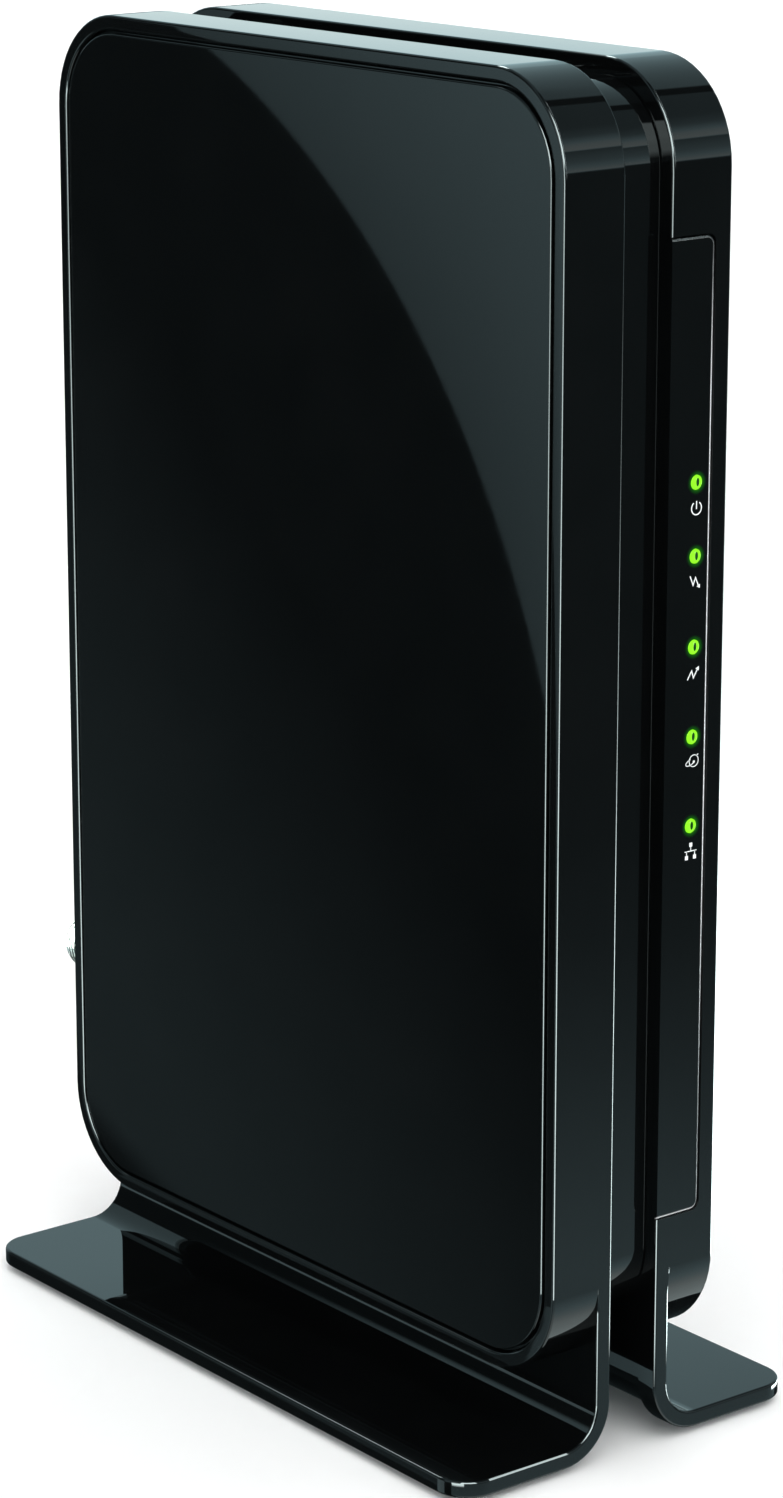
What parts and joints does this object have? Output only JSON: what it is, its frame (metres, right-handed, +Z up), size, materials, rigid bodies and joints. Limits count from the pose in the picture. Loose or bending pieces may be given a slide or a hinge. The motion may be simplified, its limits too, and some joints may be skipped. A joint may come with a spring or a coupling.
{
  "type": "cable modem",
  "caption": "Upright cable modem: two glossy black slabs with a recessed frame between them, on L-shaped feet, with a threaded coaxial connector at the rear.",
  "frame": {"origin": "on the ground, under the middle of the whole modem with its coaxial connector", "axes": "+X to the right seen from the front, +Y from the lights towards the sockets, +Z up"},
  "size_m": [0.066, 0.1366, 0.207],
  "materials": {
    "gloss_black_plastic": "polished piano black",
    "panel_black": "polished piano black",
    "window_smoke": "smoked, polished",
    "satin_black_plastic": "fine texture",
    "black_rubber": "matt",
    "clear_guide": "clear, polished",
    "label": "printed film",
    "zinc_steel": "zinc plated",
    "nickel_brass": "nickel plated",
    "gold_contact": "gold plated",
    "tin_shield": "tin plated",
    "heatsink_metal": "extruded",
    "board_green": "solder mask",
    "chip_black": "moulded",
    "thermal_silicone": "soft pad",
    "white_plastic": "moulded",
    "ferrite": "sintered",
    "capacitor_sleeve": "shrink sleeve",
    "ceramic_chip": "fired",
    "led_lens": "phosphor",
    "reset_red": "moulded"
  },
  "bodies": {
    "modem": {"left_housing": "gloss_black_plastic", "right_housing": "gloss_black_plastic", "left_side_panel": "panel_black", "right_side_panel": "panel_black", "middle_frame": "gloss_black_plastic", "led_window": "window_smoke", "light_guide": "clear_guide", "rear_panel": "satin_black_plastic", "rating_label": "label", "rubber_feet": "black_rubber", "case_screws": "zinc_steel", "main_board": "board_green", "main_chip": "chip_black", "thermal_pad": "thermal_silicone", "heatsink": "heatsink_metal", "heatsink_pins": "white_plastic", "memory_chip": "chip_black", "flash_chip": "chip_black", "voltage_regulators": "chip_black", "power_inductors": "ferrite", "electrolytic_capacitors": "capacitor_sleeve", "crystals": "tin_shield", "chip_components": "ceramic_chip", "status_leds": "led_lens", "ethernet_transformer": "chip_black", "tuner_chip": "chip_black", "tuner_shield_frame": "tin_shield", "tuner_shield_lid": "tin_shield", "coax_connector_body": "nickel_brass", "coax_insulator": "white_plastic", "coax_contact": "gold_contact", "coax_washer": "nickel_brass", "coax_nut": "nickel_brass", "ethernet_jack_housing": "chip_black", "ethernet_jack_shield": "tin_shield", "ethernet_jack_contacts": "gold_contact", "power_jack_housing": "chip_black", "power_jack_pin": "nickel_brass", "power_jack_spring_contact": "nickel_brass", "power_switch_body": "chip_black", "power_switch_spring": "zinc_steel", "reset_switch_body": "chip_black"},
    "power_button": {"power_button": "satin_black_plastic"},
    "reset_plunger": {"reset_plunger": "reset_red"}
  },
  "joints": [
    {"name": "power_button_press", "type": "slide", "parent": "modem", "child": "power_button", "axis": [0, -1, 0], "range_m": [0, 0.0024], "stiffness_N_per_m": 700, "springref_m": -0.001, "deforming": ["power_switch_spring"]},
    {"name": "reset_press", "type": "slide", "parent": "modem", "child": "reset_plunger", "axis": [0, -1, 0], "range_m": [0, 0.0003], "stiffness_N_per_m": 4000, "springref_m": -0.0001}
  ]
}
